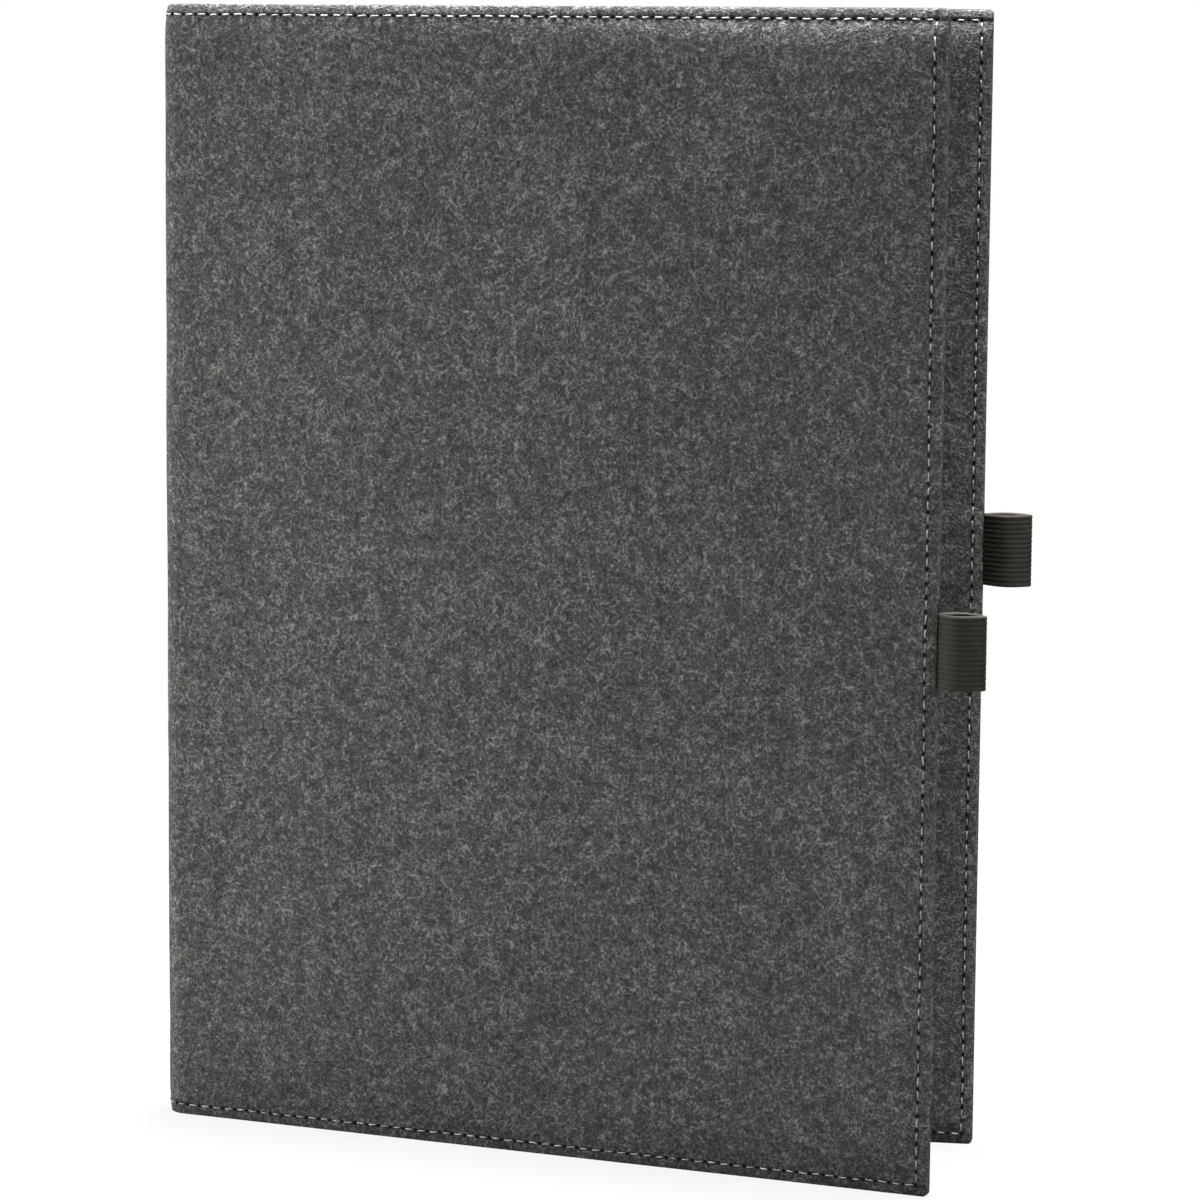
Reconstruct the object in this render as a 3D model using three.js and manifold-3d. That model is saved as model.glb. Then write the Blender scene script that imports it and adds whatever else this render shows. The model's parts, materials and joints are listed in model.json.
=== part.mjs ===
// Felt document folder for A4 sheets, standing on its bottom edges with its covers a little apart.
// Millimetres, +Z up, spine at -X, fore edges and pen loops at +X, front cover at -Y.
// The origin is the middle of the folder's outline, at the height of the surface it stands on.

import * as THREE from 'three';
import { mergeVertices } from 'three/addons/utils/BufferGeometryUtils.js';
import Module from 'manifold-3d';

const wasm = await Module();
wasm.setup();

// Driving dimensions of the felt
const folderHeight = 320;
const coverWidth = 227; // from the middle of the spine's round to the fore edge
const spineThickness = 14; // outside, across the round of the spine
const openingAngle = THREE.MathUtils.degToRad(13); // between the two covers
const outerFeltThickness = 2.2;
const pocketFeltThickness = 2.2;
const pocketMouth = 7; // from the middle of the spine's round to the pocket's free edge
const cornerRadius = 2;

// Driving dimensions of the seam that runs round the folder, top, fore edge and bottom
const seamMargin = 3; // from the cut edge to the middle of the seam
const threadWidth = 0.8;
const threadHeight = 0.5;
const threadInset = 0.05; // how far the thread lies below the felt's face

// Driving dimensions of the elastic pen loops
const loopWidth = 20; // width of the elastic band
const bandThickness = 0.9;
const loopReach = 13.5; // how far a loop stands out of its fore edge
const loopSwell = 9; // outside, across the open loop
const loopTail = 12; // length of band sewn in between the two felts
const loopsMeetHeight = 160; // the front loop ends below it, the back loop starts above it
const loopSpacing = 0.6; // between the loops when the folder is shut

// Clearances
const layerGap = 0.3; // between pieces that lie on each other
const foldGap = 0.3; // between spine and cover, along the outside of the fold
const mitreSpare = THREE.MathUtils.degToRad(1); // kept open at the fold when the folder is shut

// Smoothness of the curves
const foldSteps = 7;
const cornerSteps = 6;
const loopSteps = 14;

// Places that follow from the sizes
const spineRadius = spineThickness / 2;
const spineInnerRadius = spineRadius - outerFeltThickness;
const halfOpening = openingAngle / 2;
const halfRound = Math.PI / 2 - halfOpening; // from the middle of the spine to a cover
const hingeAngle = halfRound / 2; // the fold line, halfway round
const foldGapAngle = foldGap / 2 / spineRadius;
const pocketOuterFace = spineInnerRadius - layerGap;
const pocketInnerFace = pocketOuterFace - pocketFeltThickness;
const seamPlane = (spineInnerRadius + pocketOuterFace) / 2;
const cutDepth = spineThickness + loopSwell; // longer than any cut through the felt
const cutOverrun = mitreSpare + halfOpening; // how far a groove's cut runs on past a fold
const cutSpare = 1; // how far a cut runs on past a face or an edge

const feltMaterial = new THREE.MeshStandardMaterial({ color: 0x4c4c4b, roughness: 0.95 });
const pocketMaterial = new THREE.MeshStandardMaterial({ color: 0x464645, roughness: 0.95 });
const threadMaterial = new THREE.MeshStandardMaterial({ color: 0x9b9b98, roughness: 0.7 });
const elasticMaterial = new THREE.MeshStandardMaterial({ color: 0x2c2923, roughness: 0.8 });

function toSolid(geometry) {
  const bare = geometry.clone();
  bare.deleteAttribute('normal');
  bare.deleteAttribute('uv');
  const merged = mergeVertices(bare, 1e-5);
  const vertProperties = new Float32Array(merged.attributes.position.array);
  const triVerts = new Uint32Array(merged.index.array);
  return new wasm.Manifold(new wasm.Mesh({ numProp: 3, vertProperties, triVerts }));
}

function toGeometry(solid) {
  const { vertProperties, triVerts } = solid.getMesh();
  const geometry = new THREE.BufferGeometry();
  geometry.setAttribute('position', new THREE.BufferAttribute(vertProperties, 3));
  geometry.setIndex(new THREE.BufferAttribute(triVerts, 1));
  return geometry;
}

function shapeFrom(points) {
  return new THREE.Shape(points.map(([x, y]) => new THREE.Vector2(x, y)));
}

// A plan outline, raised from one height to another
function raise(shape, bottom, top) {
  const geometry = new THREE.ExtrudeGeometry(shape, { depth: top - bottom, bevelEnabled: false });
  return geometry.translate(0, 0, bottom);
}

// An outline seen from the front (x, z), made a plate that reaches from y = near to y = far
function plate(shape, near, far) {
  const geometry = new THREE.ExtrudeGeometry(shape, { depth: far - near, bevelEnabled: false });
  return geometry.rotateX(Math.PI / 2).translate(0, far, 0);
}

// A point on the spine's round. The angle runs from a cover's tangent, back towards the spine.
function onRound(radius, angle, side) {
  return [-radius * Math.sin(angle), side * radius * Math.cos(angle)];
}

function arc(radius, from, to, side) {
  const points = [];
  for (let i = 0; i <= foldSteps; i++) {
    points.push(onRound(radius, from + ((to - from) * i) / foldSteps, side));
  }
  return points;
}

// The plan of one cover's layer: its share of the spine's round, then straight to the fore edge.
// The end at the fold is cut back on the inside, so that the cover can still shut.
// overrun takes a cutting tool on past that end.
function coverPlan(outerRadius, innerRadius, side, overrun = 0) {
  const outerEnd = hingeAngle - foldGapAngle + overrun;
  const depth = spineRadius - innerRadius;
  const cutBack = (depth * Math.tan(halfOpening + mitreSpare)) / innerRadius;
  return shapeFrom([
    ...arc(outerRadius, outerEnd, 0, side),
    [coverWidth, side * outerRadius],
    [coverWidth, side * innerRadius],
    ...arc(innerRadius, 0, outerEnd - cutBack, side),
  ]);
}

// The plan of the spine's layer, from fold line to fold line
function spinePlan(outerRadius, innerRadius, overrun = 0) {
  const reach = hingeAngle - foldGapAngle + overrun;
  const points = [];
  for (const [radius, sign] of [[outerRadius, 1], [innerRadius, -1]]) {
    for (let i = -foldSteps; i <= foldSteps; i++) {
      const angle = (sign * reach * i) / foldSteps;
      points.push([-radius * Math.cos(angle), radius * Math.sin(angle)]);
    }
  }
  return shapeFrom(points);
}

// A cover's outline from the front, with its two rounded corners at the fore edge.
// inset moves it in from the cut edge, and start is where it begins at the spine side.
function coverOutline(start, inset) {
  const right = coverWidth - inset;
  const radius = Math.max(cornerRadius - inset, 0);
  const points = [[start, inset]];
  for (const [height, from] of [[inset + radius, -Math.PI / 2], [folderHeight - inset - radius, 0]]) {
    for (let i = 0; i <= (radius > 0 ? cornerSteps : 0); i++) {
      const angle = from + (Math.PI / 2 * i) / cornerSteps;
      points.push([right - radius + radius * Math.cos(angle), height + radius * Math.sin(angle)]);
    }
  }
  points.push([start, folderHeight - inset]);
  return shapeFrom(points);
}

function bar(x0, x1, z0, z1) {
  return shapeFrom([[x0, z0], [x1, z0], [x1, z1], [x0, z1]]);
}

// The strip of the seam, as a frame open at the spine side, cut through everything in its way
function seamFrame(start, halfWidth) {
  const depth = cutDepth + cutSpare;
  const outside = toSolid(plate(coverOutline(start, seamMargin - halfWidth), -cutDepth, cutDepth));
  const inside = toSolid(plate(coverOutline(start - cutSpare, seamMargin + halfWidth), -depth, depth));
  return outside.subtract(inside);
}

const seamStart = -2 * spineRadius;
const threadFrame = seamFrame(seamStart, threadWidth / 2);
const grooveFrame = seamFrame(seamStart, threadWidth / 2 + layerGap);
const threadTop = spineRadius - threadInset;
const threadBottom = threadTop - threadHeight;
const grooveBottom = threadBottom - layerGap;

// Room in the two felts for the sewn-in tail of a pen loop
function loopRoom(side, bottom) {
  const outline = bar(
    coverWidth - loopTail - layerGap, coverWidth + loopReach,
    bottom - layerGap, bottom + loopWidth + layerGap,
  );
  const half = bandThickness + layerGap;
  const middle = side * seamPlane;
  return toSolid(plate(outline, middle - half, middle + half));
}

function outerFelt(side, loopBottom) {
  const sheet = toSolid(raise(coverPlan(spineRadius, spineInnerRadius, side), 0, folderHeight));
  const trim = toSolid(plate(coverOutline(seamStart, 0), -cutDepth, cutDepth));
  const groove = toSolid(raise(coverPlan(spineRadius + cutSpare, grooveBottom, side, cutOverrun), 0, folderHeight))
    .intersect(grooveFrame);
  return sheet.intersect(trim).subtract(groove).subtract(loopRoom(side, loopBottom));
}

function needleThread(side) {
  const layer = toSolid(raise(coverPlan(threadTop, threadBottom, side), 0, folderHeight));
  return layer.intersect(threadFrame);
}

// A flat layer inside a cover, between two distances from the middle plane
function innerLayer(outline, outerFace, innerFace, side) {
  const faces = [side * outerFace, side * innerFace].sort((a, b) => a - b);
  return toSolid(plate(outline, faces[0], faces[1]));
}

function pocketFelt(side, loopBottom) {
  const sheet = innerLayer(coverOutline(pocketMouth, 0), pocketOuterFace, pocketInnerFace, side);
  const depth = threadInset + threadHeight + layerGap;
  const grooveLayer = innerLayer(
    coverOutline(pocketMouth - cutSpare, 0), pocketInnerFace + depth, pocketInnerFace - cutSpare, side,
  );
  return sheet.subtract(grooveLayer.intersect(grooveFrame)).subtract(loopRoom(side, loopBottom));
}

function bobbinThread(side) {
  const face = pocketInnerFace + threadInset;
  return innerLayer(coverOutline(pocketMouth, 0), face + threadHeight, face, side)
    .intersect(threadFrame);
}

// The elastic band, folded over and sewn in by its two ends, open for a pen from top to bottom
function penLoop(side, bottom) {
  const half = loopSwell / 2 - bandThickness;
  const length = loopReach - bandThickness;
  const middle = side * seamPlane;
  const wall = (share, thickness) => [
    coverWidth + length * share,
    thickness + half * Math.sin(Math.PI * share),
  ];
  const upper = [[coverWidth - loopTail, bandThickness]];
  const hole = [];
  for (let i = 0; i <= loopSteps; i++) {
    upper.push(wall(i / loopSteps, bandThickness));
    hole.push(wall(i / loopSteps, 0));
  }
  for (let i = 1; i < cornerSteps / 2; i++) {
    const angle = (Math.PI / 2) * (1 - i / (cornerSteps / 2));
    upper.push([coverWidth + length + bandThickness * Math.cos(angle), bandThickness * Math.sin(angle)]);
  }
  const tip = [coverWidth + loopReach, 0];
  const mirrored = (points) => points.map(([x, y]) => [x, -y]).reverse();
  const lift = ([x, y]) => [x, y + middle];
  const shape = shapeFrom([...upper, tip, ...mirrored(upper)].map(lift));
  const pen = [...hole, ...mirrored(hole.slice(1, -1))].reverse().map(lift);
  shape.holes.push(new THREE.Path(pen.map(([x, y]) => new THREE.Vector2(x, y))));
  return raise(shape, bottom, bottom + loopWidth);
}

function named(name, geometry, material) {
  const mesh = new THREE.Mesh(geometry, material);
  mesh.name = name;
  return mesh;
}

// One cover with all that is sewn to it, turned to its share of the opening
function cover(name, side, loopBottom) {
  const group = new THREE.Group();
  group.add(named(`${name}_outer_felt`, toGeometry(outerFelt(side, loopBottom)), feltMaterial));
  group.add(named(`${name}_pocket_felt`, toGeometry(pocketFelt(side, loopBottom)), pocketMaterial));
  group.add(named(`${name}_pen_loop`, penLoop(side, loopBottom), elasticMaterial));
  group.add(named(`${name}_needle_thread`, toGeometry(needleThread(side)), threadMaterial));
  group.add(named(`${name}_bobbin_thread`, toGeometry(bobbinThread(side)), threadMaterial));
  group.rotation.z = side * halfOpening;
  return group;
}

function spine() {
  const group = new THREE.Group();
  const sheet = toSolid(raise(spinePlan(spineRadius, spineInnerRadius), 0, folderHeight));
  const groove = toSolid(raise(spinePlan(spineRadius + cutSpare, grooveBottom, cutOverrun), 0, folderHeight))
    .intersect(grooveFrame);
  group.add(named('spine_outer_felt', toGeometry(sheet.subtract(groove)), feltMaterial));
  const layer = spinePlan(threadTop, threadBottom);
  for (const [place, middle] of [['top', folderHeight - seamMargin], ['bottom', seamMargin]]) {
    const strip = raise(layer, middle - threadWidth / 2, middle + threadWidth / 2);
    group.add(named(`spine_${place}_thread`, strip, threadMaterial));
  }
  return group;
}

const folder = new THREE.Group();
folder.add(spine());
folder.add(cover('front', -1, loopsMeetHeight - loopSpacing / 2 - loopWidth));
folder.add(cover('back', 1, loopsMeetHeight + loopSpacing / 2));

// The outline's middle goes to the origin
folder.updateMatrixWorld(true);
const box = new THREE.Box3().setFromObject(folder, true);
folder.position.set(-(box.min.x + box.max.x) / 2, -(box.min.y + box.max.y) / 2, -box.min.z);

export default folder;
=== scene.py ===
# %% [markdown]
# # A felt document folder
# This lesson dresses a folder for A4 sheets: two covers of stitched felt that stand a little open, and
# an elastic pen loop on each fore edge. The solids come from the frame, so every size here starts there.

# %% Load the frame
import json
import math
import random

import bmesh
import bpy
from mathutils import Matrix, Vector, noise


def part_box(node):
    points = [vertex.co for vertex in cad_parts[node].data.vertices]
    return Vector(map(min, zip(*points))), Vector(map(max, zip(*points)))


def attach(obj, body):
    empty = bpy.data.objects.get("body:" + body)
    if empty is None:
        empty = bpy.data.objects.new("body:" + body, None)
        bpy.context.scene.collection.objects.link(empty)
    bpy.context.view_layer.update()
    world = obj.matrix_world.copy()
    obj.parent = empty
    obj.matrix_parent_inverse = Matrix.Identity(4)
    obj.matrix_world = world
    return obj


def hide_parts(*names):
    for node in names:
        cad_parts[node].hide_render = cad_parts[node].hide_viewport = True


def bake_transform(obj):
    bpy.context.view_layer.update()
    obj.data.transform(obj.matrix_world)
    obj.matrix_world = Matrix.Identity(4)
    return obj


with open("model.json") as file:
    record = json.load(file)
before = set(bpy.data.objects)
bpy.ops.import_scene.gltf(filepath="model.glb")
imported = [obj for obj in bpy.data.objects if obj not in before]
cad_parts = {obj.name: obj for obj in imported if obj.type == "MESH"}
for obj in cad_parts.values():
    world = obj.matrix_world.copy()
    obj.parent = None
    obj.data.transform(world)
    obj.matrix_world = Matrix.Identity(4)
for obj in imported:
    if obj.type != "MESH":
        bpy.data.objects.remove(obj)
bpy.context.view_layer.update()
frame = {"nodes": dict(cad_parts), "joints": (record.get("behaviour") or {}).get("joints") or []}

print("nodes:", sorted(frame["nodes"]))

# %% [markdown]
# ## Sizes
# Felt is sold by its thickness and elastic by its width, so those are the folder's true sizes. Places
# such as the round of the spine are read from the frame's boxes, and the rest follows from them.

# %% Sizes of felt, seam and elastic
MM = 0.001
FELT = 2.2 * MM  # thickness of one layer
LAYER_GAP = 0.3 * MM  # between the two layers of a cover
COVER_WIDTH = 227 * MM  # from the middle of the spine's round to the fore edge
SPINE_RADIUS = 7 * MM
POCKET_MOUTH = 7 * MM  # from the middle of the spine's round to the pocket's free edge
CORNER_RADIUS = 1.2 * MM
SEAM_MARGIN = 3 * MM
STITCH_PITCH = 3.85 * MM
BAND_THICKNESS = 0.9 * MM
LOOP_REACH = 13.5 * MM
LOOP_SWELL = 9 * MM
LOOP_TAIL = 12 * MM

# %% Places read from the frame
spine_low, spine_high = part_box("spine_outer_felt")
HEIGHT = spine_high.z - spine_low.z
ROUND_X = spine_low.x + SPINE_RADIUS
HALF_OPENING = -math.radians(frame["joints"][0]["range_deg"][0])
HALF_ROUND = math.pi / 2 - HALF_OPENING
ROUND_LENGTH = SPINE_RADIUS * HALF_ROUND  # felt from the spine's middle to a cover
SHEET_WIDTH = ROUND_LENGTH + COVER_WIDTH
SIDES = {"front": -1, "back": 1}  # which way along Y each cover lies
print(f"felt sheet per side: {SHEET_WIDTH / MM:.1f} x {HEIGHT / MM:.1f} mm")

# %% Stitches to a run
def stitch_pitch(length):
    """The pitch that fits a whole number of stitches into a run."""
    return length / round(length / STITCH_PITCH)


ALONG_PITCH = stitch_pitch(SHEET_WIDTH - SEAM_MARGIN)  # along the top and the bottom
HEIGHT_PITCH = stitch_pitch(HEIGHT - 2 * SEAM_MARGIN)  # up the fore edge
print(f"stitches {ALONG_PITCH / MM:.2f} mm apart along, {HEIGHT_PITCH / MM:.2f} mm up the fore edge")

# %% [markdown]
# ## The camera
# The picture looks at the front cover with a long lens, from a little above and a little towards the
# fore edges. The camera turns round a point near the middle of the folder, so its place is an azimuth,
# an elevation and a distance.

# %% Camera
CAMERA_AZIMUTH = math.radians(15.94)
CAMERA_ELEVATION = math.radians(7.33)
CAMERA_ROLL = math.radians(0.46)
CAMERA_DISTANCE = 1.2449
CAMERA_LENS = 133.3  # millimetres, on a sensor 36 mm wide
CAMERA_TARGET = Vector((ROUND_X + 0.12214, 0.0, 0.15513))

towards = Vector((
    math.sin(CAMERA_AZIMUTH) * math.cos(CAMERA_ELEVATION),
    -math.cos(CAMERA_AZIMUTH) * math.cos(CAMERA_ELEVATION),
    math.sin(CAMERA_ELEVATION),
))
camera_data = bpy.data.cameras.new("camera")
camera_data.sensor_width = 36
camera_data.lens = CAMERA_LENS
camera_data.clip_start = 0.05
camera_data.clip_end = 20
camera = bpy.data.objects.new("camera", camera_data)
bpy.context.scene.collection.objects.link(camera)
camera.rotation_mode = "QUATERNION"
camera.location = CAMERA_TARGET + towards * CAMERA_DISTANCE
aim = (-towards).to_track_quat("-Z", "Y")
camera.rotation_quaternion = aim @ Matrix.Rotation(CAMERA_ROLL, 3, "Z").to_quaternion()
bpy.context.scene.camera = camera
bpy.context.scene.view_settings.view_transform = "Standard"
print("camera at", [round(v, 3) for v in camera.location])

# %% [markdown]
# ## Light and ground
# The folder stands before plain white. Camera rays see a white world and a nearly white floor, while
# only a little of the world's light falls on the felt. The lamps shape the rest, so the felt keeps its
# own dark grey.

# %% World
WORLD_LEVEL = 0.02  # what the world gives the object
world = bpy.data.worlds.new("world")
bpy.context.scene.world = world
world.use_nodes = True
world_nodes, world_links = world.node_tree.nodes, world.node_tree.links
world_nodes.clear()
world_out = world_nodes.new("ShaderNodeOutputWorld")
world_mix = world_nodes.new("ShaderNodeMixShader")
world_light = world_nodes.new("ShaderNodeBackground")
world_light.inputs["Color"].default_value = (1, 1, 1, 1)
world_light.inputs["Strength"].default_value = WORLD_LEVEL
world_white = world_nodes.new("ShaderNodeBackground")
world_white.inputs["Color"].default_value = (1, 1, 1, 1)
world_white.inputs["Strength"].default_value = 1


def seen_directly(nodes, links):
    """1 for camera, glossy and transmission rays, 0 for the light that bounces."""
    path = nodes.new("ShaderNodeLightPath")
    total = path.outputs["Is Camera Ray"]
    for other in ("Is Glossy Ray", "Is Transmission Ray"):
        add = nodes.new("ShaderNodeMath")
        add.operation = "MAXIMUM"
        links.new(total, add.inputs[0])
        links.new(path.outputs[other], add.inputs[1])
        total = add.outputs[0]
    return total


world_links.new(seen_directly(world_nodes, world_links), world_mix.inputs[0])
world_links.new(world_light.outputs[0], world_mix.inputs[1])
world_links.new(world_white.outputs[0], world_mix.inputs[2])
world_links.new(world_mix.outputs[0], world_out.inputs["Surface"])

# %% Floor
FLOOR_SIZE = 8.0
FLOOR_GLOW = 0.85  # share of plain white in what the camera sees of the floor near the folder
FLOOR_COLOUR = 0.15  # share of the light on it that the floor throws back
SHADOW_REACH = (0.25, 0.8)  # metres from the folder where the floor turns to plain white
floor_mesh = bpy.data.meshes.new("floor")
bm = bmesh.new()
bmesh.ops.create_grid(bm, x_segments=1, y_segments=1, size=FLOOR_SIZE / 2)
bm.to_mesh(floor_mesh)
bm.free()
floor = bpy.data.objects.new("floor", floor_mesh)
bpy.context.scene.collection.objects.link(floor)
floor_material = bpy.data.materials.new("pale_floor")
floor_material.use_nodes = True
nodes, links = floor_material.node_tree.nodes, floor_material.node_tree.links
nodes.clear()
floor_out = nodes.new("ShaderNodeOutputMaterial")
floor_diffuse = nodes.new("ShaderNodeBsdfDiffuse")
floor_diffuse.inputs["Color"].default_value = (FLOOR_COLOUR, FLOOR_COLOUR, FLOOR_COLOUR, 1)
floor_glow = nodes.new("ShaderNodeEmission")
floor_glow.inputs["Color"].default_value = (1, 1, 1, 1)
floor_place = nodes.new("ShaderNodeTexCoord")
floor_length = nodes.new("ShaderNodeVectorMath")
floor_length.operation = "LENGTH"
links.new(floor_place.outputs["Object"], floor_length.inputs[0])
floor_fade = nodes.new("ShaderNodeMapRange")
floor_fade.interpolation_type = "SMOOTHSTEP"
for socket, value in zip(("From Min", "From Max", "To Min", "To Max"), (*SHADOW_REACH, FLOOR_GLOW, 1)):
    floor_fade.inputs[socket].default_value = value
links.new(floor_length.outputs["Value"], floor_fade.inputs["Value"])
floor_share = nodes.new("ShaderNodeMath")
floor_share.operation = "MULTIPLY"
floor_mix = nodes.new("ShaderNodeMixShader")
links.new(seen_directly(nodes, links), floor_share.inputs[0])
links.new(floor_fade.outputs[0], floor_share.inputs[1])
links.new(floor_share.outputs[0], floor_mix.inputs[0])
links.new(floor_diffuse.outputs[0], floor_mix.inputs[1])
links.new(floor_glow.outputs[0], floor_mix.inputs[2])
links.new(floor_mix.outputs[0], floor_out.inputs["Surface"])
floor_mesh.materials.append(floor_material)


# %% [markdown]
# The lamp above is narrow, and its middle is a little behind the folder's. Its light passes along the
# upright felt and is caught by what tilts upward: the rounded top edge and the pillow below the seam.

# %% Lamps
def soft_lamp(name, place, width, watts, height=None, colour=(1, 1, 1)):
    """A square lamp, or an oblong one with a height, that looks at the folder's middle."""
    data = bpy.data.lights.new(name, "AREA")
    data.shape = "RECTANGLE"
    data.size = width
    data.size_y = height or width
    data.energy = watts
    data.color = colour
    lamp = bpy.data.objects.new(name, data)
    bpy.context.scene.collection.objects.link(lamp)
    lamp.location = place
    lamp.rotation_mode = "QUATERNION"
    lamp.rotation_quaternion = (Vector((0, 0, HEIGHT / 2)) - Vector(place)).to_track_quat("-Z", "Y")


soft_lamp("key_lamp", (-0.52, -0.22, 0.22), width=0.4, watts=4.45)
soft_lamp("top_lamp", (0.05, 0.075, 1.5), width=0.6, height=0.3, watts=240, colour=(0.96, 0.965, 1.0))
soft_lamp("left_lamp", (-1.3, 0.15, 0.65), width=0.6, watts=16)
soft_lamp("side_lamp", (1.5, -0.35, 0.5), width=0.8, watts=11)
soft_lamp("back_lamp", (0.3, 1.7, 0.9), width=1.0, watts=14)

# %% [markdown]
# ## The felt's finish
# This felt is needled from dark and light fibres. From a step away it is a dark grey with soft blotches,
# and close up it is a tangle of short pale fibres. A strand is the line along which a smooth noise
# crosses its middle value: that line is thin, long and curved. The noise is stretched to give each set
# a direction, and a second noise breaks the lines into short lengths. A fine speckle lies under them.

# %% Small helpers for node trees
def new_material(name):
    """A material with its node tree and its Principled shader."""
    material = bpy.data.materials.new(name)
    material.use_nodes = True
    tree = material.node_tree
    shader = tree.nodes["Principled BSDF"]
    return material, tree, shader


def add_node(tree, kind, **settings):
    """A new node with its settings. A setting that is an input's name sets that input."""
    node = tree.nodes.new(kind)
    for name, value in settings.items():
        if hasattr(node, name):
            setattr(node, name, value)
        else:
            node.inputs[name.replace("_", " ")].default_value = value
    return node


def math_node(tree, operation, first, second=None, third=None):
    """The result of one calculation. Each term is a number or another node's output."""
    node = tree.nodes.new("ShaderNodeMath")
    node.operation = operation
    for socket, value in zip(node.inputs, (first, second, third)):
        if value is None:
            continue
        if isinstance(value, bpy.types.NodeSocket):
            tree.links.new(value, socket)
        else:
            socket.default_value = value
    return node.outputs[0]


def noise_value(tree, place, scale, detail=2.0, roughness=0.5):
    """A noise from 0 to 1, its scale in cells per metre."""
    node = add_node(tree, "ShaderNodeTexNoise", Scale=float(scale), Detail=float(detail), Roughness=roughness)
    tree.links.new(place, node.inputs["Vector"])
    return node.outputs["Fac"]


def stepped(tree, value, start, end, low=0.0, high=1.0):
    """The value carried smoothly from start..end to low..high."""
    node = add_node(tree, "ShaderNodeMapRange", interpolation_type="SMOOTHSTEP")
    tree.links.new(value, node.inputs["Value"])
    for socket, number in zip(("From Min", "From Max", "To Min", "To Max"), (start, end, low, high)):
        node.inputs[socket].default_value = number
    return node.outputs[0]


def colour_ramp(tree, value, stops):
    """The colour that a value picks from (position, colour) stops, which run from low to high."""
    ramp = add_node(tree, "ShaderNodeValToRGB")
    elements = ramp.color_ramp.elements
    for element, (position, colour) in zip(elements, (stops[0], stops[-1])):
        element.position = position
        element.color = (*colour, 1)
    for position, colour in stops[1:-1]:
        elements.new(position).color = (*colour, 1)
    tree.links.new(value, ramp.inputs["Fac"])
    return ramp.outputs["Color"]


def add_bump(tree, shader, height, strength, distance):
    """Lets a pattern stand up to a distance in metres out of the face."""
    bump = add_node(tree, "ShaderNodeBump", Strength=strength, Distance=distance)
    tree.links.new(height, bump.inputs["Height"])
    tree.links.new(bump.outputs[0], shader.inputs["Normal"])


# %% Fibres of the felt
STRAND_ANGLES = (9, 52, 88, 131, 165)  # degrees, one set of strands each
STRAND_SCALE = 680.0  # noise cells per metre across a strand
STRAND_STRETCH = 0.33  # how slowly the noise changes along a strand
STRAND_WIDTH = 0.055  # the band of noise values about its middle that shows as a strand
STRAND_BEND = 1.6 * MM  # how far a slow noise moves the pattern
BEND_SCALE = 300.0  # cells per metre of that slow noise
STRAND_TILT = 7  # degrees that the strands lean out of the folder's middle plane
STRAND_SHIFT = (0.01, 0.013)  # metres per degree, so that every set crosses a part of the noise of its own
BREAK_SCALE = 0.8 * STRAND_SCALE
BREAK_RANGE = (0.45, 0.7)  # values of the second noise over which a strand fades in


def bent_place(tree):
    """Object coordinates, moved about by a slow noise so that strands curve."""
    place = add_node(tree, "ShaderNodeTexCoord").outputs["Object"]
    slow = add_node(tree, "ShaderNodeTexNoise", Scale=BEND_SCALE, Detail=1.0)
    tree.links.new(place, slow.inputs["Vector"])
    shift = add_node(tree, "ShaderNodeVectorMath", operation="MULTIPLY_ADD")
    shift.inputs[1].default_value = (STRAND_BEND,) * 3
    tree.links.new(slow.outputs["Color"], shift.inputs[0])
    tree.links.new(place, shift.inputs[2])
    return place, shift.outputs[0]


def strand_set(tree, place, degrees):
    """One set of strands, 1 along each strand's middle and 0 between them."""
    mapping = add_node(tree, "ShaderNodeMapping", vector_type="TEXTURE")
    mapping.inputs["Rotation"].default_value = (0, math.radians(degrees), math.radians(STRAND_TILT))
    mapping.inputs["Scale"].default_value = (1 / STRAND_STRETCH, 1, 1)
    mapping.inputs["Location"].default_value = (degrees * STRAND_SHIFT[0], 0, degrees * STRAND_SHIFT[1])
    tree.links.new(place, mapping.inputs["Vector"])
    level = noise_value(tree, mapping.outputs[0], STRAND_SCALE, detail=1)
    off_middle = math_node(tree, "ABSOLUTE", math_node(tree, "SUBTRACT", level, 0.5))
    line = stepped(tree, off_middle, 0.0, STRAND_WIDTH, 1.0, 0.0)
    shown = stepped(tree, noise_value(tree, mapping.outputs[0], BREAK_SCALE, detail=0), *BREAK_RANGE)
    return math_node(tree, "MULTIPLY", line, shown)


# %% Painted shade in the needle holes and along the seam
HOLE_RADIUS = 0.8 * MM
# painted shade: the felt's colour is darkened in the needle holes and along the seam's pressed line
HOLE_SHADE = 0.2  # share of the felt's colour left in a hole
SEAM_LINE = 0.7 * MM  # half the width of the line that the thread presses into the felt
# share of the felt's colour left on the seam's line by the painted shade
SEAM_LINE_SHADE = 0.75
DARK_CORE = 0.3  # share of a hole's radius, or of the line's half width, that is fully shaded


def from_nearest(tree, value, start, pitch):
    """Distance from a value to the nearest of the places start + n * pitch."""
    turns = math_node(tree, "DIVIDE", math_node(tree, "SUBTRACT", value, start), pitch)
    share = math_node(tree, "SUBTRACT", math_node(tree, "FRACT", math_node(tree, "ADD", turns, 0.5)), 0.5)
    return math_node(tree, "MULTIPLY", math_node(tree, "ABSOLUTE", share), pitch)


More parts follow.
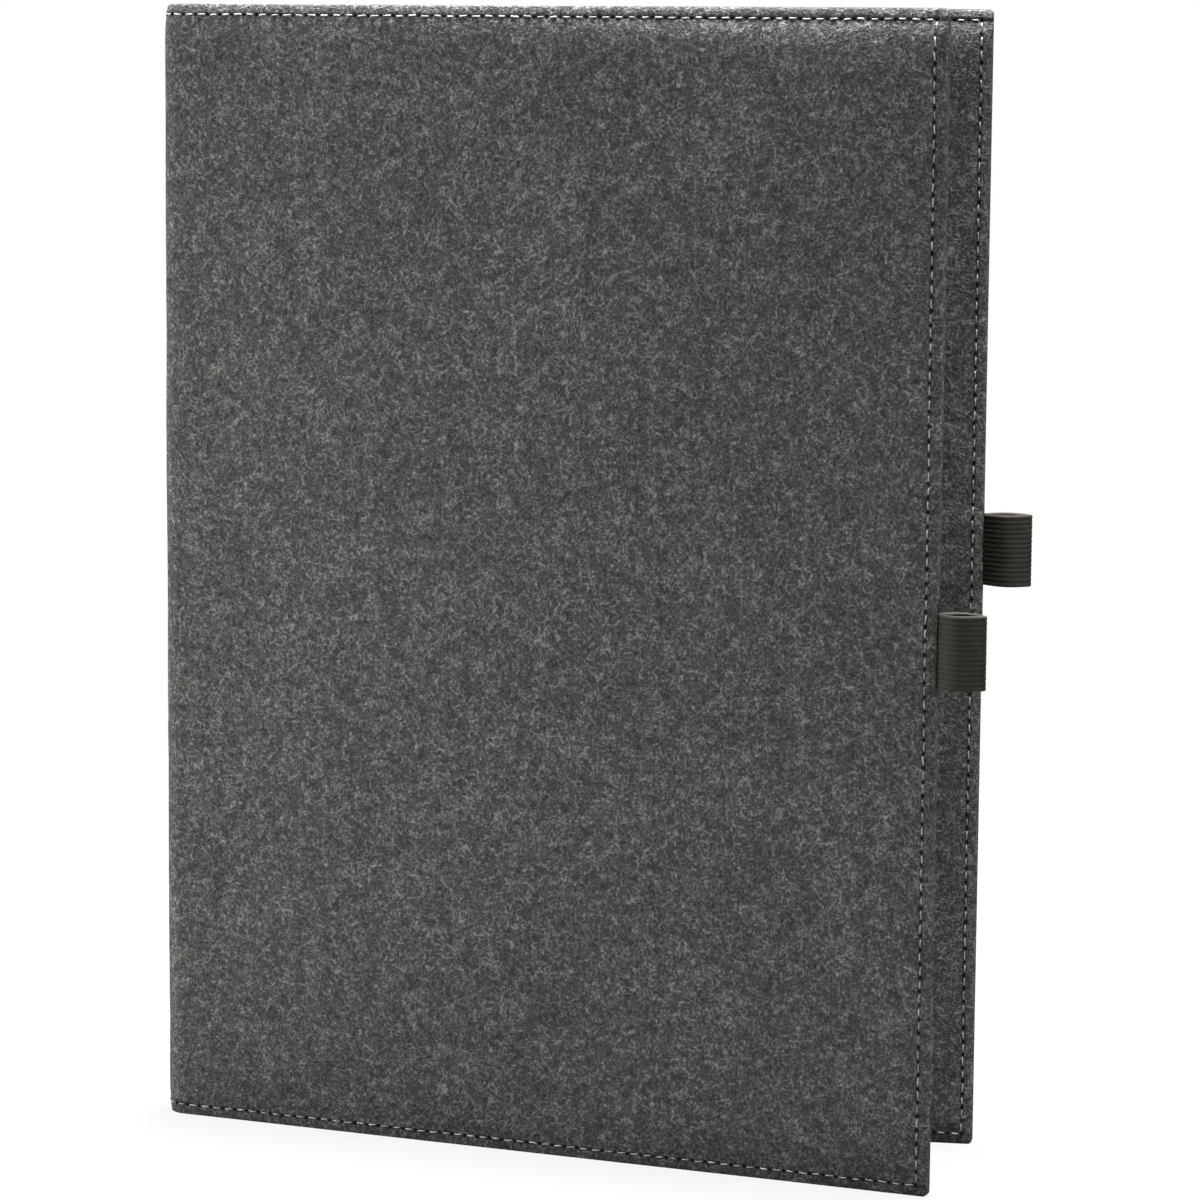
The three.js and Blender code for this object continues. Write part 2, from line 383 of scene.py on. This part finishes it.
def seam_shade(tree):
    """Painted shade: 1 on plain felt, less along the seam, and least in the needle holes."""
    sheet = add_node(tree, "ShaderNodeUVMap", uv_map="sheet")
    split = add_node(tree, "ShaderNodeSeparateXYZ")
    tree.links.new(sheet.outputs[0], split.inputs[0])
    along, height = split.outputs["X"], split.outputs["Y"]
    off_fore = math_node(tree, "ABSOLUTE", math_node(tree, "SUBTRACT", along, SHEET_WIDTH - SEAM_MARGIN))
    off_middle = math_node(tree, "ABSOLUTE", math_node(tree, "SUBTRACT", height, HEIGHT / 2))
    off_level = math_node(tree, "ABSOLUTE", math_node(tree, "SUBTRACT", off_middle, HEIGHT / 2 - SEAM_MARGIN))
    holes = []
    for off_line, step in (
        (off_level, from_nearest(tree, along, 0.0, ALONG_PITCH)),
        (off_fore, from_nearest(tree, height, SEAM_MARGIN, HEIGHT_PITCH)),
    ):
        squares = math_node(tree, "MULTIPLY_ADD", off_line, off_line, math_node(tree, "MULTIPLY", step, step))
        holes.append(math_node(tree, "SQRT", squares))
    hole = math_node(tree, "MINIMUM", *holes)
    line = math_node(tree, "MINIMUM", off_level, off_fore)
    in_hole = stepped(tree, hole, HOLE_RADIUS * DARK_CORE, HOLE_RADIUS, HOLE_SHADE, 1.0)
    on_line = stepped(tree, line, SEAM_LINE * DARK_CORE, SEAM_LINE, SEAM_LINE_SHADE, 1.0)
    return math_node(tree, "MULTIPLY", in_hole, on_line)


# %% Felt material
FELT_COLOUR = (0.0645, 0.0636, 0.0597)  # the colour in the middle of the ramp
FELT_STOPS = ((0.0, 0.40), (0.28, 0.70), (0.45, 1.0), (0.62, 1.47), (1.0, 3.0))  # position, share of it
PATTERN_RANGE = (0.985, 1.985)  # what the whole pattern comes to at the ramp's two ends
SPECKLE_SCALE, SPECKLE_SHARE = 1250, 1.55  # cells per metre, share in the pattern
CLUMP_SCALE, CLUMP_SHARE = 460, 0.66
BLOTCH_SCALE, BLOTCH_SHARE = 130, 0.22
CLOUD_SCALE, CLOUD_SHARE = 20, 0.14
TANGLE_SHARE = 0.40


def felt_material(name):
    """Dark felt without gloss: fibres, speckle and blotches picked out by one ramp, with painted shade at the
    seams.
    """
    material, tree, shader = new_material(name)
    place, bent = bent_place(tree)
    tangle = None
    for degrees in STRAND_ANGLES:
        strands = strand_set(tree, bent, degrees)
        tangle = strands if tangle is None else math_node(tree, "MAXIMUM", tangle, strands)
    speckle = noise_value(tree, place, SPECKLE_SCALE, roughness=0.65)
    pattern = math_node(tree, "MULTIPLY", speckle, SPECKLE_SHARE)
    for noise_output, noise_share in (
        (noise_value(tree, bent, CLUMP_SCALE, roughness=0.6), CLUMP_SHARE),
        (noise_value(tree, place, BLOTCH_SCALE), BLOTCH_SHARE),
        (noise_value(tree, place, CLOUD_SCALE), CLOUD_SHARE),
        (tangle, TANGLE_SHARE),
    ):
        pattern = math_node(tree, "MULTIPLY_ADD", noise_output, noise_share, pattern)
    level = add_node(tree, "ShaderNodeMapRange")
    tree.links.new(pattern, level.inputs["Value"])
    level.inputs["From Min"].default_value, level.inputs["From Max"].default_value = PATTERN_RANGE
    stops = [(position, [share * value for value in FELT_COLOUR]) for position, share in FELT_STOPS]
    # the ramp's colour times the painted shade of the seams and needle holes
    sewn = add_node(tree, "ShaderNodeVectorMath", operation="SCALE")
    tree.links.new(colour_ramp(tree, level.outputs[0], stops), sewn.inputs[0])
    tree.links.new(seam_shade(tree), sewn.inputs["Scale"])
    tree.links.new(sewn.outputs[0], shader.inputs["Base Color"])
    add_bump(tree, shader, pattern, strength=0.6, distance=0.4 * MM)
    shader.inputs["Roughness"].default_value = 0.92
    shader.inputs["Specular IOR Level"].default_value = 0
    return material


FELT_MATERIAL = felt_material("grey_felt")

# %% [markdown]
# ## A sheet of felt
# Each cover is cut from felt, so it starts as a flat grid in the sheet's own measures: how far along,
# how high and how deep below the outer face. The seam is pulled into it there, its cut edges are
# rounded, and only then is the sheet wrapped round the spine and turned to the cover's place.

# %% Where a point of the sheet ends up
def wrap(side, along, height, depth):
    """A point of the folder. along is measured from the spine's middle, depth from the outer face."""
    if along < ROUND_LENGTH:
        angle = (ROUND_LENGTH - along) / SPINE_RADIUS
        out, across = -(SPINE_RADIUS - depth) * math.sin(angle), (SPINE_RADIUS - depth) * math.cos(angle)
    else:
        out, across = along - ROUND_LENGTH, SPINE_RADIUS - depth
    turned = Matrix.Rotation(side * HALF_OPENING, 3, "Z") @ Vector((out, side * across, 0))
    return Vector((ROUND_X + turned.x, turned.y, height))


# %% Grid lines that crowd towards a sewn edge
EDGE_LINES = (0, 0.1, 0.3, 0.6, 1.0, 1.45, 1.9, 2.3, 2.65, 3.0, 3.35, 3.8, 4.4, 5.2, 6.2)  # mm


def grid_lines(start, end, crowd_start, crowd_end, origin, pitch):
    """Places of the grid's lines: on each needle hole and halfway between two, denser near an edge."""
    near = [value * MM for value in EDGE_LINES]
    first = [start + value for value in near] if crowd_start else [start]
    last = [end - value for value in reversed(near)] if crowd_end else [end]
    step = pitch / 2
    count = math.ceil((end - origin) / step)
    regular = [origin + step * i for i in range(count)]
    room = step / 3  # a line nearer than this to its neighbour is left out
    middle = [value for value in regular if first[-1] + room < value < last[0] - room]
    return first + middle + last


# %% How the seam draws the felt in
EDGE_DROP = {"fore": 1.0 * MM, "bottom": 0.3 * MM, "top": 0.9 * MM}  # the cut edge below the seam
SEAM_DEPTH = {"fore": 0.5 * MM, "bottom": 0.5 * MM, "top": 0.7 * MM}  # in a needle hole
MARGIN_RISE = 0.15  # share of the depth that the margin beyond the seam rises again
HOLE_WIDTH = 0.5 * MM  # how far beyond the seam it starts to rise
SEAM_REACH = 2.3 * MM  # how far in from the seam the dip has shrunk to about a third
TOP_PUFF = 0.6 * MM  # the felt stands proud below the top seam, towards the fore edge
PUFF_START, PUFF_FULL = 0.3 * SHEET_WIDTH, 0.72 * SHEET_WIDTH  # where along the top it grows
PUFF_REACH = 25 * MM
TOP_SINK = 1.35 * MM  # and the seam lies deeper there
SINK_REACH = 4.5 * MM
PUCKER = 0.45  # how much less the felt is drawn in between two needle holes


def soft_step(value, start, end):
    """0 up to the start, 1 from the end on, and a smooth rise between."""
    share = min(max((value - start) / (end - start), 0), 1)
    return share * share * (3 - 2 * share)


def edge_distances(along, height):
    """Distances to the fore edge, the bottom and the top of a cover."""
    return {"fore": SHEET_WIDTH - along, "bottom": height, "top": HEIGHT - height}


def drawn_in(along, height):
    """How far a sewn face lies below its flat place."""
    deepest = 0.0
    puffed = soft_step(along, PUFF_START, PUFF_FULL)
    for edge, distance in edge_distances(along, height).items():
        distance = max(distance, 0)
        off_seam = distance - SEAM_MARGIN
        phase = (height - SEAM_MARGIN) / HEIGHT_PITCH if edge == "fore" else along / ALONG_PITCH
        extra = TOP_SINK * puffed if edge == "top" else 0.0
        between = 0.5 - 0.5 * math.cos(2 * math.pi * phase)
        depth = SEAM_DEPTH[edge] * (1 - PUCKER * between * math.exp(-((off_seam / MM) ** 2)))
        if off_seam > 0:
            sink = depth * math.exp(-off_seam / SEAM_REACH) + extra * math.exp(-off_seam / SINK_REACH)
        else:
            rise = MARGIN_RISE * (1 - math.exp(-((off_seam / HOLE_WIDTH) ** 2)))
            sink = (depth + extra) * (1 - rise)
            sink += EDGE_DROP[edge] * (1 - math.sqrt(1 - (1 - distance / SEAM_MARGIN) ** 2))
        deepest = max(deepest, sink)
    from_top = max(HEIGHT - height - SEAM_MARGIN, 0)
    return deepest - TOP_PUFF * puffed * math.exp(-from_top / PUFF_REACH)


# %% Waves in the felt
WAVE_SEEDS = {"front": 3, "back": 11}
FINE_SEED = 5  # added for the fine waves, so that they don't follow the slow ones
SLOW_WAVES, SLOW_RISE = 18, 0.30 * MM  # noise cells per metre, how far they move the felt
FINE_WAVES, FINE_RISE = 150, 0.07 * MM


def unevenness(cover, along, height):
    """The slight waviness of needled felt."""
    seed = WAVE_SEEDS[cover]
    slow = noise.noise(Vector((along * SLOW_WAVES, height * SLOW_WAVES, seed)))
    fine = noise.noise(Vector((along * FINE_WAVES, height * FINE_WAVES, seed + FINE_SEED)))
    return SLOW_RISE * slow + FINE_RISE * fine


# %% Corners of the fore edge
def round_corner(along, height):
    """Moves a point of the square grid so that the two fore corners come out round."""
    for low_side in (True, False):
        rise = height if low_side else HEIGHT - height
        fore = SHEET_WIDTH - along
        if fore < CORNER_RADIUS and rise < CORNER_RADIUS:
            out, away = 1 - fore / CORNER_RADIUS, 1 - rise / CORNER_RADIUS  # within a unit square
            round_out, round_away = out * math.sqrt(1 - away * away / 2), away * math.sqrt(1 - out * out / 2)
            along = SHEET_WIDTH - CORNER_RADIUS * (1 - round_out)
            rise = CORNER_RADIUS * (1 - round_away)
            height = rise if low_side else HEIGHT - rise
    return along, height


# %% Room for the sewn-in tail of a pen loop
LOOP_LIFT = 0.35 * MM  # how much the felt bulges over the tail
LIFT_FADE = 2 * MM  # the bulge fades out over this length
LOOP_BOXES = {cover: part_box(f"{cover}_pen_loop") for cover in SIDES}


def over_tail(cover, along, height):
    """1 over the tail of this cover's loop, 0 away from it."""
    low, high = LOOP_BOXES[cover]
    inside = soft_step(along, SHEET_WIDTH - LOOP_TAIL - LIFT_FADE, SHEET_WIDTH - LOOP_TAIL)
    inside *= soft_step(height, low.z - LIFT_FADE, low.z)
    return inside * soft_step(-height, -high.z - LIFT_FADE, -high.z)


# %% Thick grids and finished pieces
def thick_grid(columns, rows, thickness, uv_name):
    """A closed slab on the given grid lines. Its UV map holds each point's place on the grid."""
    bm = bmesh.new()
    bmesh.ops.create_grid(bm, x_segments=len(columns) - 1, y_segments=len(rows) - 1, size=0.5)
    for vert in bm.verts:
        column = round((vert.co.x + 0.5) * (len(columns) - 1))
        row = round((vert.co.y + 0.5) * (len(rows) - 1))
        vert.co = (columns[column], rows[row], 0)
    second = bmesh.ops.extrude_face_region(bm, geom=bm.faces[:])["geom"]
    for item in second:
        if isinstance(item, bmesh.types.BMVert):
            item.co.z = thickness
    layer = bm.loops.layers.uv.new(uv_name)
    for face in bm.faces:
        for corner in face.loops:
            corner[layer].uv = corner.vert.co.xy
    return bm


def link_piece(name, bm, material):
    """A finished piece: its mesh holds its place, and its object stays at the origin."""
    bmesh.ops.recalc_face_normals(bm, faces=bm.faces[:])
    mesh = bpy.data.meshes.new(name)
    bm.to_mesh(mesh)
    bm.free()
    mesh.materials.append(material)
    for polygon in mesh.polygons:
        polygon.use_smooth = True
    piece = bpy.data.objects.new(name, mesh)
    bpy.context.scene.collection.objects.link(piece)
    return piece


# %% One layer of felt
ARRIS = 0.3 * MM  # rounding of the cut edge where the two layers meet
TAIL_ROOM = 0.1 * MM  # air between the tail and the felt


def felt_layer(name, cover, start, outer_depth, sewn_outside):
    """A closed sheet of felt for one cover, from start along the sheet to the fore edge."""
    columns = grid_lines(start, SHEET_WIDTH, not sewn_outside, True, 0, ALONG_PITCH)
    rows = grid_lines(0, HEIGHT, True, True, SEAM_MARGIN, HEIGHT_PITCH)
    bm = thick_grid(columns, rows, FELT, "sheet")
    for vert in bm.verts:
        along, height, depth = vert.co
        outer = depth < FELT / 2
        tail = over_tail(cover, along, height)
        sink = drawn_in(along, height)
        wave = unevenness(cover, along, height)
        if outer == sewn_outside:
            raised = LOOP_LIFT * tail - sink
            depth += wave + (-raised if outer else raised)
        else:
            room = tail * (BAND_THICKNESS - LAYER_GAP / 2 + TAIL_ROOM)
            edge = min(edge_distances(along, height).values())
            if edge < ARRIS:
                room += ARRIS - edge
            depth += wave + (room if outer else -room)
        along, height = round_corner(along, height)
        vert.co = wrap(SIDES[cover], along, height, outer_depth + depth)
    return link_piece(name, bm, FELT_MATERIAL)


pieces = {}
for cover in SIDES:
    pieces[f"{cover}_felt"] = felt_layer(f"{cover}_felt", cover, 0, 0, True)
    pieces[f"{cover}_pocket"] = felt_layer(
        f"{cover}_pocket", cover, ROUND_LENGTH + POCKET_MOUTH, FELT + LAYER_GAP, False
    )
for name, piece in pieces.items():
    print(name, len(piece.data.polygons), "faces")

# %% [markdown]
# ## Stitches
# A lockstitch shows as a row of short threads, each rising out of one needle hole and diving into the
# next. One stitch is a small bent tube. It is copied along the three sewn edges, with a slight
# wobble in place and angle, as a sewing machine leaves on thick felt.

# %% One stitch
THREAD_RADIUS = 0.19 * MM
THREAD_SIDES = 6
THREAD_STEPS = 6
STITCH_LENGTH = 2.8 * MM
STITCH_DIP = 0.7 * MM  # how deep the thread's ends go
STITCH_BEND = 4  # a higher power keeps the middle straight for longer


def stitch_tube(bm):
    """A thread along +X: its middle lies at z = 0 and its ends dip below."""
    ring = bmesh.ops.create_circle(bm, segments=THREAD_SIDES, radius=THREAD_RADIUS, cap_ends=False)["verts"]
    bmesh.ops.rotate(bm, verts=ring, cent=(0, 0, 0), matrix=Matrix.Rotation(math.pi / 2, 3, "Y"))
    bmesh.ops.translate(bm, verts=ring, vec=(-STITCH_LENGTH / 2, 0, 0))
    edges = list({edge for vert in ring for edge in vert.link_edges})
    bmesh.ops.contextual_create(bm, geom=edges)
    for _ in range(THREAD_STEPS):
        grown = bmesh.ops.extrude_edge_only(bm, edges=edges)["geom"]
        moved = [item for item in grown if isinstance(item, bmesh.types.BMVert)]
        edges = [item for item in grown if isinstance(item, bmesh.types.BMEdge)]
        bmesh.ops.translate(bm, verts=moved, vec=(STITCH_LENGTH / THREAD_STEPS, 0, 0))
    bmesh.ops.contextual_create(bm, geom=edges)
    for vert in bm.verts:
        share = 2 * vert.co.x / STITCH_LENGTH
        vert.co.z -= STITCH_DIP * share ** STITCH_BEND


stitch_mesh = bpy.data.meshes.new("one_stitch")
bm = bmesh.new()
stitch_tube(bm)
bmesh.ops.recalc_face_normals(bm, faces=bm.faces[:])
bm.to_mesh(stitch_mesh)
bm.free()
print("one stitch:", len(stitch_mesh.polygons), "faces")


# %% Thread material
THREAD_DARK = (0.125, 0.125, 0.119)
THREAD_LIGHT = (0.26, 0.26, 0.25)
PLY_SCALE, PLY_SHARE = 1800, 0.435  # cells per metre, share in the thread's shade
WORN_SCALE, WORN_SHARE = 330, 1.305


def thread_material():
    """Light grey thread, darker in places, with its plies in a fine bump."""
    material, tree, shader = new_material("grey_thread")
    place = add_node(tree, "ShaderNodeTexCoord").outputs["Object"]
    ply = noise_value(tree, place, PLY_SCALE)
    worn = noise_value(tree, place, WORN_SCALE, detail=1)
    shade = math_node(tree, "MULTIPLY", ply, PLY_SHARE)
    shade = math_node(tree, "MULTIPLY_ADD", worn, WORN_SHARE, shade)
    colour = colour_ramp(tree, shade, ((0.75, THREAD_DARK), (1.0, THREAD_LIGHT)))
    tree.links.new(colour, shader.inputs["Base Color"])
    add_bump(tree, shader, ply, strength=0.4, distance=0.2 * MM)
    shader.inputs["Roughness"].default_value = 0.7
    return material


THREAD_MATERIAL = thread_material()


# %% Rows of stitches
THREAD_STANDS = 0.5 * THREAD_RADIUS  # how far a stitch's middle lies above the felt
STITCH_WOBBLE = 0.12 * MM  # to either side of the seam's line
STITCH_TURN = 0.11  # radians, either way
STITCH_STRETCH = (0.8, 1.06)


def seam_runs():
    """The three runs of a cover's seam: (along, height) where each starts and ends."""
    fore, top, bottom = SHEET_WIDTH - SEAM_MARGIN, HEIGHT - SEAM_MARGIN, SEAM_MARGIN
    return (
        ((0, top), (fore, top)),
        ((fore, top), (fore, bottom)),
        ((fore, bottom), (0, bottom)),
    )


def stitch_row(name, cover, inside):
    """All the stitches on one face of a cover and its half of the spine."""
    draw = random.Random(name)
    bm = bmesh.new()
    count = 0
    for (along0, height0), (along1, height1) in seam_runs():
        length = abs(along1 - along0) + abs(height1 - height0)
        upright = height0 != height1
        number = round(length / STITCH_PITCH)
        for i in range(number):
            share = (i + 0.5) / number
            along = along0 + (along1 - along0) * share
            height = height0 + (height1 - height0) * share
            wobble = draw.uniform(-STITCH_WOBBLE, STITCH_WOBBLE)
            along += wobble if upright else 0
            height += 0 if upright else wobble
            turn = draw.uniform(-STITCH_TURN, STITCH_TURN) + (math.pi / 2 if upright else 0)
            stretch = draw.uniform(*STITCH_STRETCH)
            lift = THREAD_STANDS + LOOP_LIFT * over_tail(cover, along, height)
            sink = drawn_in(along, height) - lift
            wave = unevenness(cover, along, height)
            if inside:
                on_pocket = along > ROUND_LENGTH + POCKET_MOUTH
                face = 2 * FELT + LAYER_GAP if on_pocket else FELT
            first = len(bm.verts)
            bm.from_mesh(stitch_mesh)
            bm.verts.ensure_lookup_table()
            for vert in bm.verts[first:]:
                x, y, z = vert.co
                x *= stretch
                place_along = along + x * math.cos(turn) - y * math.sin(turn)
                place_height = height + x * math.sin(turn) + y * math.cos(turn)
                depth = face - sink + z if inside else sink - z
                vert.co = wrap(SIDES[cover], place_along, place_height, depth + wave)
            count += 1
    piece = link_piece(name, bm, THREAD_MATERIAL)
    print(name, count, "stitches")
    return piece


for cover in SIDES:
    pieces[f"{cover}_stitches"] = stitch_row(f"{cover}_stitches", cover, False)
    pieces[f"{cover}_inner_stitches"] = stitch_row(f"{cover}_inner_stitches", cover, True)

# %% [markdown]
# ## Pen loops
# A loop is a band of ribbed elastic, folded over with both ends sewn in between the felts. The band
# starts as a flat grid whose rows follow the ribs, gets its thickness, and is bent along its path.

# %% The band's path, seen from above
TAIL_STEPS = 4
LOOP_STEPS = 22
FOLD_STEPS = 6
SEAM_PLANE = SPINE_RADIUS - FELT - LAYER_GAP / 2  # from the folder's middle plane


def band_path():
    """(out, across) points of the band's middle, from one sewn end round to the other."""
    half = LOOP_SWELL / 2 - BAND_THICKNESS
    length = LOOP_REACH - BAND_THICKNESS
    wall = []
    for i in range(TAIL_STEPS):
        wall.append((COVER_WIDTH - LOOP_TAIL * (1 - i / TAIL_STEPS), BAND_THICKNESS / 2))
    for i in range(LOOP_STEPS + 1):
        share = i / LOOP_STEPS
        swell = half * math.sin(math.pi * share)
        wall.append((COVER_WIDTH + length * share, BAND_THICKNESS / 2 + swell))
    fold = []
    for i in range(1, FOLD_STEPS):
        angle = math.pi / 2 - math.pi * i / FOLD_STEPS
        fold.append((
            COVER_WIDTH + length + BAND_THICKNESS / 2 * math.cos(angle),
            BAND_THICKNESS / 2 * math.sin(angle),
        ))
    return wall + fold + [(out, -across) for out, across in reversed(wall)]


# %% The ribbed band
RIBS = 15
ROWS_PER_RIB = 6
RIB_HEIGHT = 0.12 * MM
RIB_BREADTH = 0.7  # a power under 1 makes the ribs broad and the grooves between them narrow
SELVEDGE = 0.5 * MM  # the band thins over this width at its two edges
SELVEDGE_DROP = 0.2 * MM
LOOP_DROOP = 0.25 * MM  # how far the band's lower edge hangs at the fold


def pen_loop(name, cover):
    """One band from its sewn-in ends to its fold, on the cover's seam plane."""
    low, high = LOOP_BOXES[cover]
    width = high.z - low.z
    path = band_path()
    last = len(path) - 1
    rows = RIBS * ROWS_PER_RIB
    columns = [i / last for i in range(last + 1)]
    bm = thick_grid(columns, [i / rows for i in range(rows + 1)], 1, "band")
    for vert in bm.verts:
        step = round(vert.co.x * last)
        across = vert.co.y
        outer = vert.co.z < 0.5
        before, after = path[max(step - 1, 0)], path[min(step + 1, last)]
        direction = Vector((after[0] - before[0], after[1] - before[1])).normalized()
        normal = Vector((-direction.y, direction.x))
        rib = abs(math.sin(math.pi * across * RIBS)) ** RIB_BREADTH
        thinned = 1 - min(min(across, 1 - across) * width / SELVEDGE, 1)
        half = BAND_THICKNESS / 2 - RIB_HEIGHT * (1 - rib) - SELVEDGE_DROP * thinned ** 2
        place = Vector(path[step]) + normal * (half if outer else -half)
        loose = soft_step(place.x, COVER_WIDTH, COVER_WIDTH + LOOP_REACH)
        height = low.z + across * width - LOOP_DROOP * loose * (1 - across)
        depth = SPINE_RADIUS - SEAM_PLANE - place.y
        vert.co = wrap(SIDES[cover], ROUND_LENGTH + place.x, height, depth)
    return link_piece(name, bm, ELASTIC_MATERIAL)


# %% Elastic material
ELASTIC_DARK = (0.0085, 0.0073, 0.0046)
ELASTIC_LIGHT = (0.029, 0.0257, 0.0176)
WEAVE_SCALE, WEAVE_SHARE = 3200, 0.78  # cells per metre, share in the band's shade
DUST_SCALE, DUST_SHARE = 300, 0.39
# painted shade: lighter on the ribs, darker in the grooves between them
RIB_SHADE_SHARE = 0.1716


def elastic_material():
    """Near-black band with a fine weave, and painted shade that leaves its ribs lighter than the grooves
    between them.
    """
    material, tree, shader = new_material("ribbed_elastic")
    place = add_node(tree, "ShaderNodeTexCoord").outputs["Object"]
    weave = noise_value(tree, place, WEAVE_SCALE)
    band = add_node(tree, "ShaderNodeUVMap", uv_map="band")
    split = add_node(tree, "ShaderNodeSeparateXYZ")
    tree.links.new(band.outputs[0], split.inputs[0])
    # painted shade of the ribs: 1 on a rib, 0 in a groove
    turn = math_node(tree, "MULTIPLY", split.outputs["Y"], math.pi * RIBS)
    rib = math_node(tree, "ABSOLUTE", math_node(tree, "SINE", turn))
    shade = math_node(tree, "MULTIPLY", weave, WEAVE_SHARE)
    shade = math_node(tree, "MULTIPLY_ADD", noise_value(tree, place, DUST_SCALE), DUST_SHARE, shade)
    shade = math_node(tree, "MULTIPLY_ADD", rib, RIB_SHADE_SHARE, shade)
    colour = colour_ramp(tree, shade, ((0.5, ELASTIC_DARK), (1.0, ELASTIC_LIGHT)))
    tree.links.new(colour, shader.inputs["Base Color"])
    add_bump(tree, shader, weave, strength=0.4, distance=0.2 * MM)
    shader.inputs["Roughness"].default_value = 0.75
    shader.inputs["Specular IOR Level"].default_value = 0.15
    return material


ELASTIC_MATERIAL = elastic_material()
for cover in SIDES:
    pieces[f"{cover}_loop"] = pen_loop(f"{cover}_loop", cover)
    print(f"{cover}_loop", len(pieces[f"{cover}_loop"].data.polygons), "faces")

# %% [markdown]
# ## What moves with what
# The pockets and loops are sewn to one cover and ride on it. The outer felt and the stitches that cross
# the fold are not attached to either cover: their places are baked into their meshes.

# %% Ride and replace
for cover, side in SIDES.items():
    body = f"{cover}_cover"
    for name in (f"{cover}_felt", f"{cover}_stitches", f"{cover}_inner_stitches"):
        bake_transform(pieces[name])
    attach(pieces[f"{cover}_pocket"], body)
    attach(pieces[f"{cover}_loop"], body)
    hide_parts(f"{cover}_outer_felt", "spine_outer_felt")
    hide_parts(f"{cover}_pocket_felt")
    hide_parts(f"{cover}_pen_loop")
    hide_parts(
        f"{cover}_needle_thread", "spine_top_thread", "spine_bottom_thread",
    )
    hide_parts(f"{cover}_bobbin_thread")
